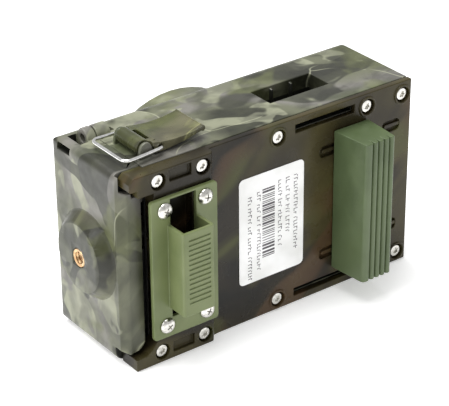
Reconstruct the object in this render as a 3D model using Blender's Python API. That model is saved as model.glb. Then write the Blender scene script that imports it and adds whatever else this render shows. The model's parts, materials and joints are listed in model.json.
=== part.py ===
"""Trail camera, lying on its long side as it rests on a table.

Frame: +X runs along the camera from its hinged end cap to its other end, +Y from the rear panel
to the lens side, +Z up, from the hinge side to the latch side. The origin is the middle of the
overall box at its lowest level. Sizes below are millimetres; make_object turns them to metres.
"""
import math

import bmesh
import bpy
from mathutils import Vector

MM = 0.001

# The closed body: X, Y and Z. Rear panel at Y = 0, hinge side at Z = 0, cap's end face at X = 0.
LENGTH = 140.0
DEPTH = 46.2
WIDTH = 82.0
WALL = 2.4
GAP = 0.4
PAST = 3.0                      # how far a cutter runs past a face
SEAM_Y = 2.8                    # joint plane between rear and front shell
EDGE_R = 5.0                    # rounding of the two long front edges
CAP_LENGTH = 12.0
SHELL_X = CAP_LENGTH + GAP      # where the shells start
MID_Z = WIDTH / 2

# End cap hinge, along Y.
HINGE_X = 5.0
HINGE_Z = 3.0
HINGE_PIN_R = 1.2
HINGE_BORE_R = 1.5
CAP_CORNER_R = 4.4              # cap's rounding towards the hinge side, seen along Y
ARM_START_X = 2.9
ARM_END_Y = 6.5                 # rear shell's hinge arm ends here
TONGUE_R = 2.5
TONGUE_Y = (12.8, 28.1)         # front shell's hinge tongue
TONGUE_CUT_R = 3.0
NEAR_WALL_END_X = 9.4           # cap's wall on the rear side stops short of the rear shell

# Hollow of the cap: a main room, then two shallower ones towards the latch side.
CAP_SKIN = 2.5
CAP_ROOM_Z = (12.2, 67.6)
CARD_ROOM_Z = (67.0, 74.6)
UPPER_ROOM_Y = (7.0, 29.2)

# Raised end block of the rear shell, and its upper arm over the cap.
BLOCK_PROUD = 3.5
BLOCK_START_X = 12.8
BLOCK_END_X = 40.2
BLOCK_SLOPE = 1.6
UPPER_ARM_X = (2.1, 5.8)
UPPER_ARM_Z = (76.5, 73.3)      # its lower edge at the tip, then nearer the block
UPPER_ARM_END_Y = 4.2

# Tripod boss and its insert, along X.
BOSS_Y = 22.0
BOSS_Z = 41.0
BOSS_HEIGHT = 5.0
BOSS_BASE_R = 18.5
BOSS_FACE_R = 14.0
INSERT_R = 3.8
INSERT_BORE_R = 3.0

# Front turret, lens and sensor, along Y.
TURRET_X = 61.5
TURRET_R = 38.5
TURRET_FACE_Y = DEPTH + 10.0
LENS_X = 70.0
LENS_R = 8.6
HOOD_R = 12.0
HOOD_FACE_Y = TURRET_FACE_Y + 1.6
SENSOR_X = 39.5
SENSOR_R = 9.5
LIGHT_PLACE = (58.0, 58.0)
LIGHT_R = 1.4

# Infrared LED window on the front, above the turret.
LED_X = (103.0, 134.0)
LED_Z = (9.0, 73.0)

# Latch: lever on a pin, wire bail hung on the lever.
LATCH_Y = 16.5
LATCH_X = 17.6
LATCH_Z = 85.4
BARREL_R = 3.1
LEVER_HALF = 8.8
LEVER_TIP_X = 44.4
BAIL_X = 24.0
BAIL_Z = 84.7
WIRE_R = 0.8
BAIL_HALF = 10.0
CROSSBAR_X = 6.5
CROSSBAR_Z = 84.5
CROSSBAR_HALF = 11.2
LUG_X = (8.4, 11.9)
LUG_HALF = 7.5
LUG_TOP_Z = 83.2

# Padlock ears at the front corner.
EAR_Y = 36.1
EAR_Z = 81.6
EAR_R = 4.0
EAR_HOLE_R = 1.7
EAR_X = (8.0, 18.4)              # over both the cap and the front shell
POCKET_X = (4.4, 8.0)            # open recess before the ear
POCKET_Y = (31.7, 40.4)
POCKET_FLOOR_Z = 78.0
SLOT_Y = (33.2, 41.4)            # slot from the cap's end face into the recess
SLOT_HEIGHT = 2.6

# Strap passage through the two long sides, and the rear slots it leads to.
STRAP_X = (81.75, 111.0)
STRAP_Y = (16.5, 29.0)
STRAP_SLOT_Z = (75.6, 78.8)
STRAP_POCKET_Z = 66.0
STRAP_RIB_X = (91.5, 101.2)

# Recesses of the rear panel: shallow ones beside the strap plate, slots for the strap, and sockets
# for the brace's hooks.
RECESS_X = (19.8, 29.7)
RECESS_Z = (2.6, 76.2)
RECESS_WIDTH = 4.6
REAR_SLOT_X = (81.2, 110.6)
REAR_SLOT_WIDTH = 3.5
CLIP_PLACES = ((93.5, 60.6), (94.1, 14.9), (125.3, 61.6), (125.3, 16.2))

# Strap plate with its loop, and tree brace.
PLATE_X = (9.8, 39.7)
PLATE_Z = (11.8, 71.1)
PLATE_Y = (-5.6, -3.8)
LOOP_X = (17.0, 31.3)
LOOP_Z = (24.5, 59.8)
LOOP_FACE_Y = -15.2
LOOP_WALL = 1.3
LOOP_GROOVES = 14
LOOP_GROOVE_PITCH = 2.05
PLATE_HOLE_X = (LOOP_X[0] + LOOP_WALL, LOOP_X[1] - LOOP_WALL)
PLATE_HOLE_Z = (20.0, 70.2)
PLATE_SCREW_X = (15.8, 34.2)
PLATE_SCREW_Z = (17.0, 66.3)
BRACE_X = (100.0, 117.3)
BRACE_Z = (9.9, 71.1)
BRACE_FACE_Y = -18.2
BRACE_RIDGES = 5
RIDGE_DEPTH = 2.0
LABEL_LOW = (53.8, 17.1)
LABEL_HIGH = (85.3, 63.7)
LABEL_Y = (-0.55, -0.3)

# Rear screws: places along X, and whether they sit on the raised end block.
BLOCK_SCREW_X = (14.9, 35.0)
BLOCK_SCREW_Z = (4.5, 77.5)
PANEL_SCREW_X = (72.8, 117.0, 135.2)
PANEL_SCREW_Z = (4.6, 76.4)
PANEL_SEAT_Y = -0.6             # face of the low rings round the panel screws
SCREW_HEAD_R = 2.65
SCREW_SUNK = 1.1
COUNTERBORE_R = 3.3
SHANK_R = 1.2
SCREW_HEAD_HEIGHT = 1.3
POST_R = 3.5
END_POST_R = 2.4
POST_BORE_R = 1.6

# Inside: control deck, battery tray and cells, boards.
DECK_X = (14.6, 16.6)
TRAY_Y = (6.0, 36.8)
TRAY_Z = (14.0, 46.0)
TRAY_X = (13.2, 122.5)
TRAY_WALL = 1.2
CELL_R = 7.1
CELL_LENGTH = 50.5
CELL_PITCH = 14.8
BOARD_Y = (37.4, 39.0)
KEY_R = 1.9
KEY_Z = 51.5
KEY_Y = (8.6, 14.1, 19.6, 25.1, 30.6)
LCD_Y = (5.0, 31.0)
LCD_Z = (56.0, 76.0)
CARD_Y = (35.6, 37.7)
CARD_Z = (50.0, 74.0)
SWITCH_Y = 12.0
SOCKET_Z = 10.0

ORIGIN = (-(LENGTH - BOSS_HEIGHT) / 2, -(HOOD_FACE_Y + BRACE_FACE_Y) / 2, 0.0)


def remove_everything():
    for item in list(bpy.data.objects):
        bpy.data.objects.remove(item)


def material(name, colour, roughness, metallic=0.0):
    made = bpy.data.materials.new(name)
    made.use_nodes = True
    shader = made.node_tree.nodes["Principled BSDF"]
    shader.inputs["Base Color"].default_value = (*colour, 1.0)
    shader.inputs["Roughness"].default_value = roughness
    shader.inputs["Metallic"].default_value = metallic
    return made


def arc(centre, radius, start, end, steps):
    """Points on an arc, angles in degrees."""
    points = []
    for step in range(steps + 1):
        angle = math.radians(start + (end - start) * step / steps)
        points.append((centre[0] + radius * math.cos(angle), centre[1] + radius * math.sin(angle)))
    return points


def rounded_rectangle(low, high, radius, steps=3):
    corners = (
        ((high[0] - radius, high[1] - radius), 0),
        ((low[0] + radius, high[1] - radius), 90),
        ((low[0] + radius, low[1] + radius), 180),
        ((high[0] - radius, low[1] + radius), 270),
    )
    outline = []
    for centre, start in corners:
        outline += arc(centre, radius, start, start + 90, steps)
    return outline


def place(axis, a, b, height):
    """Point from a height along an axis and the other two coordinates in order."""
    return {"X": (height, a, b), "Y": (a, height, b), "Z": (a, b, height)}[axis]


def prism(outline, axis, start, end):
    """Solid whose flat outline is drawn across an axis."""
    solid = bmesh.new()
    low = [solid.verts.new(place(axis, a, b, start)) for a, b in outline]
    high = [solid.verts.new(place(axis, a, b, end)) for a, b in outline]
    solid.faces.new(low)
    solid.faces.new(high)
    for index in range(len(outline)):
        solid.faces.new((low[index - 1], low[index], high[index], high[index - 1]))
    bmesh.ops.recalc_face_normals(solid, faces=solid.faces)
    return solid


def block(x, y, z):
    return prism([(x[0], y[0]), (x[1], y[0]), (x[1], y[1]), (x[0], y[1])], "Z", z[0], z[1])


def rod(axis, centre, radius, start, end, sides=16):
    outline = arc(centre, radius, 0, 360, sides)[:-1]
    return prism(outline, axis, start, end)


def turned(axis, centre, profile, sides=32):
    """Solid of revolution. The profile is a list of (radius, height) from one end to the other."""
    solid = bmesh.new()
    rings = []
    for radius, height in profile:
        if radius == 0:
            rings.append([solid.verts.new(place(axis, centre[0], centre[1], height))])
            continue
        ring = arc(centre, radius, 0, 360, sides)[:-1]
        rings.append([solid.verts.new(place(axis, a, b, height)) for a, b in ring])
    for lower, upper in zip(rings, rings[1:]):
        for index in range(sides):
            corners = [lower[index % len(lower)], lower[(index + 1) % len(lower)]]
            corners += [upper[(index + 1) % len(upper)], upper[index % len(upper)]]
            solid.faces.new(list(dict.fromkeys(corners)))
    for ring in (rings[0], rings[-1]):
        if len(ring) > 1:
            solid.faces.new(ring)
    bmesh.ops.recalc_face_normals(solid, faces=solid.faces)
    return solid


def swept_wire(path, radius, sides=8):
    """Round wire along a path of 3-D points."""
    points = [Vector(point) for point in path]
    solid = bmesh.new()
    rings = []
    normal = Vector((0.0, 0.0, 1.0))
    for index, point in enumerate(points):
        ahead = points[min(index + 1, len(points) - 1)]
        behind = points[max(index - 1, 0)]
        along = (ahead - behind).normalized()
        side = along.cross(normal).normalized()
        lift = side.cross(along)
        ring = []
        for a, b in arc((0.0, 0.0), radius, 0, 360, sides)[:-1]:
            ring.append(solid.verts.new(point + side * a + lift * b))
        rings.append(ring)
    for lower, upper in zip(rings, rings[1:]):
        for index in range(sides):
            solid.faces.new((lower[index - 1], lower[index], upper[index], upper[index - 1]))
    solid.faces.new(rings[0])
    solid.faces.new(rings[-1])
    bmesh.ops.recalc_face_normals(solid, faces=solid.faces)
    return solid


def mirrored_z(outline):
    """The same outline on the other long side. The second coordinate is Z."""
    return [(a, WIDTH - b) for a, b in outline]


class Piece:
    """One sub-part: a solid in its own object, with solids joined to it and cut from it."""

    def __init__(self, name, solid, finish, pivot=(0.0, 0.0, 0.0)):
        self.name = name
        self.pivot = pivot
        self.helpers = 0
        self.object = self.make_object(name, solid)
        self.object.data.materials.append(finish)

    def make_object(self, name, solid):
        for vert in solid.verts:
            vert.co = [(vert.co[i] - self.pivot[i]) * MM for i in range(3)]
        mesh = bpy.data.meshes.new(name)
        solid.to_mesh(mesh)
        solid.free()
        mesh.shade_smooth()
        mesh.set_sharp_from_angle(angle=math.radians(35))
        made = bpy.data.objects.new(name, mesh)
        made.parent = bpy.data.objects["camera_origin"]
        made.location = [value * MM for value in self.pivot]
        bpy.context.scene.collection.objects.link(made)
        return made

    def combine(self, solid, operation):
        self.helpers += 1
        tool = self.make_object(f"{self.name}_tool_{self.helpers}", solid)
        tool.hide_render = True
        tool.display_type = "WIRE"
        step = self.object.modifiers.new(f"{operation.lower()}_{self.helpers}", "BOOLEAN")
        step.operation = operation
        step.object = tool
        return self

    def join(self, solid):
        return self.combine(solid, "UNION")

    def cut(self, solid):
        return self.combine(solid, "DIFFERENCE")

    def keep(self, solid):
        return self.combine(solid, "INTERSECT")


def body_section(rear_y):
    """Outline of the closed body across X, as (Y, Z) pairs, from a rear plane to the front."""
    outline = [(rear_y, 0.0)]
    outline += arc((DEPTH - EDGE_R, EDGE_R), EDGE_R, -90, 0, 5)
    outline += arc((DEPTH - EDGE_R, WIDTH - EDGE_R), EDGE_R, 0, 90, 5)
    outline.append((rear_y, WIDTH))
    return outline


def front_shell(finish):
    shell = Piece("front_shell", prism(body_section(SEAM_Y + GAP / 2), "X", SHELL_X, LENGTH), finish)
    turret = [(TURRET_R, DEPTH - 1.2), (TURRET_R, TURRET_FACE_Y - 2.5)]
    turret += [(TURRET_R - 0.8, TURRET_FACE_Y - 0.8), (TURRET_R - 2.5, TURRET_FACE_Y)]
    shell.join(turned("Y", (TURRET_X, MID_Z), turret, 48))
    shell.cut(block((SHELL_X - PAST, LENGTH - WALL), (0.0, DEPTH - WALL), (WALL, WIDTH - WALL)))
    inner = [(TURRET_R - WALL, DEPTH - WALL - 1.6), (TURRET_R - WALL, TURRET_FACE_Y - WALL)]
    shell.cut(turned("Y", (TURRET_X, MID_Z), inner, 24))
    add_upper_strap_duct(shell)
    add_lower_strap_duct(shell)
    add_screw_posts(shell)
    add_hinge_tongue(shell)
    add_latch_ears(shell)
    shell.join(padlock_ear(SHELL_X, EAR_X[1]))
    shell.cut(rod("X", (EAR_Y, EAR_Z), EAR_HOLE_R, SHELL_X - PAST, EAR_X[1] + PAST, 12))
    add_front_openings(shell)


def add_front_openings(shell):
    face = (TURRET_FACE_Y - 5.0, TURRET_FACE_Y + PAST)
    shell.cut(rod("Y", (LENS_X, MID_Z), LENS_R + GAP, face[0], face[1], 24))
    shell.cut(rod("Y", (SENSOR_X, MID_Z), SENSOR_R - 1.5, face[0], face[1], 24))
    shell.cut(rod("Y", LIGHT_PLACE, LIGHT_R + 0.5, face[0], face[1], 12))
    window = rounded_rectangle((LED_X[0], LED_Z[0]), (LED_X[1], LED_Z[1]), 3.0)
    shell.cut(prism(window, "Y", DEPTH - 5.0, DEPTH + PAST))


def duct_walls(floor_z):
    walls = [(5.0, floor_z), (31.2, floor_z), (31.2, WIDTH - 1.4), (5.0, WIDTH - 1.4)]
    lip = [(SEAM_Y + GAP / 2, 73.6), (6.0, 73.6), (6.0, 79.3), (SEAM_Y + GAP / 2, 79.3)]
    return walls, lip


def add_upper_strap_duct(shell):
    """Strap passage from the latch side to the upper rear slot, over a deep pocket with two ribs."""
    walls, lip = duct_walls(STRAP_POCKET_Z - 1.6)
    shell.join(prism(walls, "X", STRAP_X[0] - 1.6, STRAP_X[1] + 1.6))
    shell.join(prism(lip, "X", STRAP_X[0] - 1.6, STRAP_X[1] + 1.6))
    low, high = STRAP_SLOT_Z
    passage = [
        (STRAP_Y[0], WIDTH + PAST),
        (STRAP_Y[1], WIDTH + PAST),
        (STRAP_Y[1], STRAP_POCKET_Z),
        (7.0, STRAP_POCKET_Z),
        (7.0, low),
        (0.0, low),
        (0.0, high),
        (STRAP_Y[0], high),
    ]
    shell.cut(prism(passage, "X", STRAP_X[0], STRAP_X[1]))
    for x in STRAP_RIB_X:
        rib_y = (STRAP_Y[1] - 1.5, STRAP_Y[1] + 1.0)
        shell.join(block((x - 0.5, x + 0.5), rib_y, (STRAP_POCKET_Z - 0.8, WIDTH - 1.2)))


def add_lower_strap_duct(shell):
    """Bent strap passage from the lower rear slot out through the hinge side."""
    walls, lip = duct_walls(70.8)
    low, high = STRAP_SLOT_Z
    passage = [
        (STRAP_Y[0], WIDTH + PAST),
        (STRAP_Y[1], WIDTH + PAST),
        (STRAP_Y[1], 77.0),
        (23.0, 73.0),
        (0.0, low),
        (0.0, high),
        (STRAP_Y[0], high),
    ]
    shell.join(prism(mirrored_z(walls), "X", STRAP_X[0] - 1.6, STRAP_X[1] + 1.6))
    shell.join(prism(mirrored_z(lip), "X", STRAP_X[0] - 1.6, STRAP_X[1] + 1.6))
    shell.cut(prism(mirrored_z(passage), "X", STRAP_X[0], STRAP_X[1]))


def add_screw_posts(shell):
    for x in BLOCK_SCREW_X + PANEL_SCREW_X:
        for z in BLOCK_SCREW_Z if x in BLOCK_SCREW_X else PANEL_SCREW_Z:
            radius = END_POST_R if x == BLOCK_SCREW_X[0] else POST_R
            shell.join(rod("Y", (x, z), radius, SEAM_Y + 0.9, 18.0, 8))
            shell.cut(rod("Y", (x, z), POST_BORE_R, 0.0, 14.0, 6))


def add_hinge_tongue(shell):
    outline = arc((HINGE_X, HINGE_Z), TONGUE_R, 90, 270, 8)
    outline += [(SHELL_X + 1.0, HINGE_Z - TONGUE_R), (SHELL_X + 1.0, 1.4)]
    shell.join(prism(outline, "Y", TONGUE_Y[0], TONGUE_Y[1]))
    shell.cut(rod("Y", (HINGE_X, HINGE_Z), HINGE_BORE_R, TONGUE_Y[0] - 1, TONGUE_Y[1] + 1, 12))


def add_latch_ears(shell):
    outline = [(LATCH_X - 3.8, WIDTH - 1.0), (LATCH_X + 3.8, WIDTH - 1.0)]
    outline += arc((LATCH_X, LATCH_Z), 2.6, 10, 170, 6)
    for near, far in ((LATCH_Y - LEVER_HALF, LATCH_Y - 7.2), (LATCH_Y + 7.2, LATCH_Y + LEVER_HALF)):
        shell.join(prism(outline, "Y", near, far))
    shell.cut(rod("Y", (LATCH_X, LATCH_Z), 1.35, LATCH_Y - LEVER_HALF + 0.6, LATCH_Y + LEVER_HALF - 0.6, 12))


def padlock_ear(start, end):
    return prism(arc((EAR_Y, EAR_Z), EAR_R, 205, -25, 8), "X", start, end)


def rear_shell(finish):
    """Flat rear panel, raised end block, and the block's two arms beside the cap."""
    face_y = SEAM_Y - GAP / 2
    outline = arc((BLOCK_END_X - 2.0, 2.0), 2.0, 270, 360, 3)
    outline += [(BLOCK_END_X, WIDTH), (UPPER_ARM_X[0] + 2.0, WIDTH), (UPPER_ARM_X[0], WIDTH - 2.0)]
    outline += [(UPPER_ARM_X[0], UPPER_ARM_Z[0] + 0.7), (UPPER_ARM_X[0] + 0.7, UPPER_ARM_Z[0])]
    outline += [(UPPER_ARM_X[1], UPPER_ARM_Z[0]), (UPPER_ARM_X[1], UPPER_ARM_Z[1])]
    outline += [(BLOCK_START_X, UPPER_ARM_Z[1]), (BLOCK_START_X, 10.0), (10.5, 7.0), (7.5, 5.2)]
    outline += [(ARM_START_X, 4.9), (ARM_START_X, 0.0)]
    shell = Piece("rear_shell", prism(outline, "Y", -BLOCK_PROUD, ARM_END_Y), finish)
    shell.join(block((BLOCK_START_X + 6.0, LENGTH), (0.0, ARM_END_Y - 1.0), (0.0, WIDTH)))
    shell.cut(block((CAP_LENGTH, LENGTH + PAST), (face_y, ARM_END_Y + PAST), (-PAST, WIDTH + PAST)))
    shell.cut(block((-PAST, CAP_LENGTH + PAST), (UPPER_ARM_END_Y, ARM_END_Y + PAST), (MID_Z, WIDTH + PAST)))
    shell.cut(rod("Y", (HINGE_X, HINGE_Z), HINGE_BORE_R, -1.6, ARM_END_Y + PAST, 12))
    slope = [(BLOCK_END_X + 1.0, BLOCK_SLOPE + 1.0 - BLOCK_PROUD), (BLOCK_END_X + 1.0, -BLOCK_PROUD - PAST)]
    slope += [(BLOCK_END_X - BLOCK_SLOPE - PAST, -BLOCK_PROUD - PAST)]
    shell.cut(prism(slope, "Z", -PAST, WIDTH + PAST))
    shell.cut(block((PLATE_HOLE_X[0] + 0.2, PLATE_HOLE_X[1] - 0.2), (-BLOCK_PROUD - PAST, 0.9), (18.0, 71.0)))
    shell.cut(block((31.4, 38.0), (-1.3, SEAM_Y + PAST), (9.0, 73.0)))
    for z in RECESS_Z:
        shell.cut(block(RECESS_X, (-BLOCK_PROUD - PAST, -BLOCK_PROUD + 1.6), (z, z + RECESS_WIDTH)))
    for z in (STRAP_SLOT_Z[0], WIDTH - STRAP_SLOT_Z[1] - 0.3):
        shell.cut(block(REAR_SLOT_X, (-PAST, SEAM_Y + PAST), (z, z + REAR_SLOT_WIDTH)))
    for x, z in CLIP_PLACES:
        add_clip_socket(shell, x, z)
    add_screw_seats(shell)


def add_clip_socket(shell, x, z):
    """Oval snap socket for the brace's hooks, with the springy finger in its middle."""
    shell.cut(prism(rounded_rectangle((x, z), (x + 9.0, z + 5.0), 1.9), "Y", -PAST, 1.5))
    finger = arc((x + 2.0, z + 2.5), 0.8, 90, 270, 4) + [(x + 10.0, z + 1.7), (x + 10.0, z + 3.3)]
    shell.join(prism(finger, "Y", 0.3, 2.0))


def add_screw_seats(shell):
    for x in PANEL_SCREW_X:
        for z in PANEL_SCREW_Z:
            shell.join(turned("Y", (x, z), [(4.2, 1.0), (4.2, PANEL_SEAT_Y)], 20))
    for x in BLOCK_SCREW_X + PANEL_SCREW_X:
        raised = x in BLOCK_SCREW_X
        face = -BLOCK_PROUD if raised else PANEL_SEAT_Y
        for z in BLOCK_SCREW_Z if raised else PANEL_SCREW_Z:
            floor = face + SCREW_SUNK + SCREW_HEAD_HEIGHT
            shell.cut(rod("Y", (x, z), COUNTERBORE_R, face - PAST, floor, 14))
            shell.cut(rod("Y", (x, z), POST_BORE_R, floor - 0.5, SEAM_Y + PAST, 6))


def rear_screws(finish):
    places = [(x, z, -BLOCK_PROUD) for x in BLOCK_SCREW_X for z in BLOCK_SCREW_Z]
    places += [(x, z, PANEL_SEAT_Y) for x in PANEL_SCREW_X for z in PANEL_SCREW_Z]
    for number, (x, z, face) in enumerate(places, 1):
        head = face + SCREW_SUNK
        profile = [(SCREW_HEAD_R - 0.4, head - 0.3), (SCREW_HEAD_R, head + 0.1), (SCREW_HEAD_R, head + 1.0)]
        profile += [(SHANK_R, head + 1.0), (SHANK_R, head + 12.0)]
        screw = Piece(f"rear_screw_{number}", turned("Y", (x, z), profile, 12), finish)
        screw.cut(rod("Y", (x, z), 1.3, head - PAST, head + 0.6, 6))


def end_cap(finish):
    """Hollow cap with a tripod boss, cut round the rear shell's arms and the front shell's tongue."""
    plan = [(CAP_LENGTH, 0.0), (3.0, 0.0), (0.0, 3.0)]
    plan += arc((3.0, DEPTH - 3.0), 3.0, 180, 90, 4)
    plan += [(CAP_LENGTH, DEPTH)]
    pivot = (HINGE_X, DEPTH / 2, HINGE_Z)
    cap = Piece("end_cap", prism(plan, "Z", -1.0, WIDTH + 1.0), finish, pivot)
    cap.keep(prism(cap_side_outline(), "Y", -PAST, DEPTH + PAST))
    cap.keep(prism(body_section(-PAST), "X", -PAST, CAP_LENGTH + PAST))
    boss = [(BOSS_FACE_R, -BOSS_HEIGHT), (BOSS_BASE_R, 0.4), (BOSS_BASE_R, 1.0)]
    cap.join(turned("X", (BOSS_Y, BOSS_Z), boss, 40))
    inside_x = (CAP_SKIN, CAP_LENGTH + PAST)
    cap.cut(block(inside_x, (WALL, DEPTH - WALL), CAP_ROOM_Z))
    cap.cut(block(inside_x, (UPPER_ROOM_Y[1] - GAP, DEPTH - WALL), CARD_ROOM_Z))
    cap.cut(block(inside_x, UPPER_ROOM_Y, (CARD_ROOM_Z[0], WIDTH - WALL)))
    cap.cut(block((CAP_LENGTH - 2.0, CAP_LENGTH + PAST), (9.2, DEPTH - WALL), (WALL, CAP_ROOM_Z[0] + GAP)))
    cap.cut(block((NEAR_WALL_END_X, CAP_LENGTH + PAST), (-PAST, WALL + 0.5), (-PAST, WIDTH + PAST)))
    cut_round_arms(cap)
    cap.join(rod("X", (BOSS_Y, BOSS_Z), INSERT_R + 2.0, 1.0, 5.6, 24))
    cap.cut(rod("X", (BOSS_Y, BOSS_Z), INSERT_R + 0.3, -BOSS_HEIGHT - PAST, 4.4, 24))
    cap.cut(rod("Y", (HINGE_X, HINGE_Z), HINGE_BORE_R, 0.0, DEPTH - 2.6, 12))
    cap.join(padlock_ear(EAR_X[0], CAP_LENGTH))
    cap.cut(block(POCKET_X, POCKET_Y, (POCKET_FLOOR_Z, WIDTH + 8.0)))
    cap.cut(rod("X", (EAR_Y, EAR_Z), EAR_HOLE_R, EAR_X[0] - 2.0, CAP_LENGTH + PAST, 12))
    cap.cut(block((-PAST, POCKET_X[0] + 0.6), SLOT_Y, (POCKET_FLOOR_Z, POCKET_FLOOR_Z + SLOT_HEIGHT)))
    lug = [(LUG_X[0], WIDTH - 1.0), (LUG_X[0], LUG_TOP_Z - 0.6), (LUG_X[0] + 0.6, LUG_TOP_Z)]
    lug += [(LUG_X[1] - 0.9, LUG_TOP_Z), (LUG_X[1], LUG_TOP_Z - 0.8), (LUG_X[1], WIDTH - 1.0)]
    cap.join(prism(lug, "Y", LATCH_Y - LUG_HALF, LATCH_Y + LUG_HALF))


def cap_side_outline():
    """Cap seen along Y, as (X, Z) pairs. Its lower inner corner follows a circle about the hinge."""
    floor_z = 0.2
    reach = CAP_LENGTH - HINGE_X
    lowest = math.degrees(math.asin((HINGE_Z - floor_z) / reach))
    corner = CAP_CORNER_R + floor_z
    outline = arc((corner, corner), CAP_CORNER_R, 180, 270, 6)
    outline += arc((HINGE_X, HINGE_Z), reach, -lowest, 0, 3)
    outline += [(CAP_LENGTH, WIDTH)] + arc((3.0, WIDTH - 3.0), 3.0, 90, 180, 4)
    outline += [(0.0, 8.0)]
    return outline


def cut_round_arms(cap):
    right = CAP_LENGTH + PAST
    upper = [(1.0, WIDTH + PAST), (1.0, 75.6), (2.0, 74.9), (5.0, 74.6), (5.4, 72.6), (right, 72.6)]
    upper += [(right, WIDTH + PAST)]
    cap.cut(prism(upper, "Y", -PAST, UPPER_ARM_END_Y + GAP))
    lower = [(-PAST, 9.2), (0.0, 7.3), (3.0, 5.6)] + arc((HINGE_X, HINGE_Z), 3.3, 115, 90, 2)
    lower += arc((HINGE_X, 10.7), 4.4, 270, 360, 5)[1:]
    lower += [(NEAR_WALL_END_X, 14.0), (right, 14.0), (right, -PAST), (-PAST, -PAST)]
    cap.cut(prism(lower, "Y", -PAST, ARM_END_Y + GAP))
    tongue = arc((HINGE_X, HINGE_Z), TONGUE_CUT_R, 45, 180, 8)
    tongue += [(HINGE_X - TONGUE_CUT_R, -PAST), (right, -PAST), (right, tongue[0][1])]
    cap.cut(prism(tongue, "Y", TONGUE_Y[0] - GAP, TONGUE_Y[1] + GAP))


def tripod_insert(finish):
    pivot = (HINGE_X, DEPTH / 2, HINGE_Z)
    ring = rod("X", (BOSS_Y, BOSS_Z), INSERT_R, -BOSS_HEIGHT + 0.1, 4.0, 24)
    insert = Piece("tripod_insert", ring, finish, pivot)
    insert.cut(rod("X", (BOSS_Y, BOSS_Z), INSERT_BORE_R, -BOSS_HEIGHT - PAST, 3.2, 24))


def hinge_pin(finish):
    pin = rod("Y", (HINGE_X, HINGE_Z), HINGE_PIN_R, -1.2, DEPTH - 3.0, 12)
    Piece("hinge_pin", pin, finish)


def latch_pin(finish):
    pin = rod("Y", (LATCH_X, LATCH_Z), 1.0, LATCH_Y - LEVER_HALF + 0.9, LATCH_Y + LEVER_HALF - 0.9, 12)
    Piece("latch_pin", pin, finish)


def latch_lever(finish):
    """Barrel on the pin, then an arm that dips and rises again to a rolled lip."""
    pivot = (LATCH_X, LATCH_Y, LATCH_Z)
    barrel = rod("Y", (LATCH_X, LATCH_Z), BARREL_R, LATCH_Y - 6.8, LATCH_Y + 6.8, 20)
    lever = Piece("latch_lever", barrel, finish, pivot)
    steps = 10
    top = []
    under = []
    for step in range(steps + 1):
        part = step / steps
        x = 20.6 + (LEVER_TIP_X - 1.4 - 20.6) * part
        dip = 87.3 - 5.0 * part + 4.9 * part ** 2
        top.append((x, dip))
        under.append((x, dip - 1.7))
    tip = arc((LEVER_TIP_X - 1.3, top[-1][1] - 0.9), 1.3, 90, -90, 5)
    arm = top + tip + under[::-1]
    lever.join(prism(arm, "Y", LATCH_Y - LEVER_HALF, LATCH_Y + LEVER_HALF))
    lever.join(block((LATCH_X + 0.5, 23.0), (LATCH_Y - 6.6, LATCH_Y + 6.6), (85.0, 87.2)))
    skirt = [(21.2, 82.7), (26.5, 82.7), (34.0, 83.6), (40.0, 84.8), (40.0, 85.6), (32.0, 85.6), (21.2, 86.6)]
    for near, far in ((LATCH_Y - LEVER_HALF, LATCH_Y - 7.3), (LATCH_Y + 7.3, LATCH_Y + LEVER_HALF)):
        lever.join(prism(skirt, "Y", near, far))
    lever.cut(rod("Y", (LATCH_X, LATCH_Z), 1.35, LATCH_Y - 12.0, LATCH_Y + 12.0, 12))
    lever.cut(rod("Y", (BAIL_X, BAIL_Z), WIRE_R + 0.35, LATCH_Y - 12.0, LATCH_Y + 12.0, 12))
    lever.cut(block((20.2, 22.0), (LATCH_Y - 4.5, LATCH_Y + 4.5), (84.0, 92.0)))


def latch_bail(finish):
    """Wire that goes from a skirt hole, forward round the lug, and back to the other skirt."""
    bend = 2.6
    half = [(BAIL_X, BAIL_HALF - 2.9, BAIL_Z), (BAIL_X, BAIL_HALF - 1.0, BAIL_Z)]
    half += [(BAIL_X - 0.3, BAIL_HALF - 0.3, BAIL_Z), (BAIL_X - 1.0, BAIL_HALF, BAIL_Z)]
    for a, b in arc((CROSSBAR_X + bend, CROSSBAR_HALF - bend), bend, 85, 180, 5):
        half.append((a, b, CROSSBAR_Z))
    near = [(x, LATCH_Y - y, z) for x, y, z in half]
    far = [(x, LATCH_Y + y, z) for x, y, z in reversed(half)]
    Piece("latch_bail", swept_wire(near + far, WIRE_R), finish, (BAIL_X, LATCH_Y, BAIL_Z))


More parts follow.
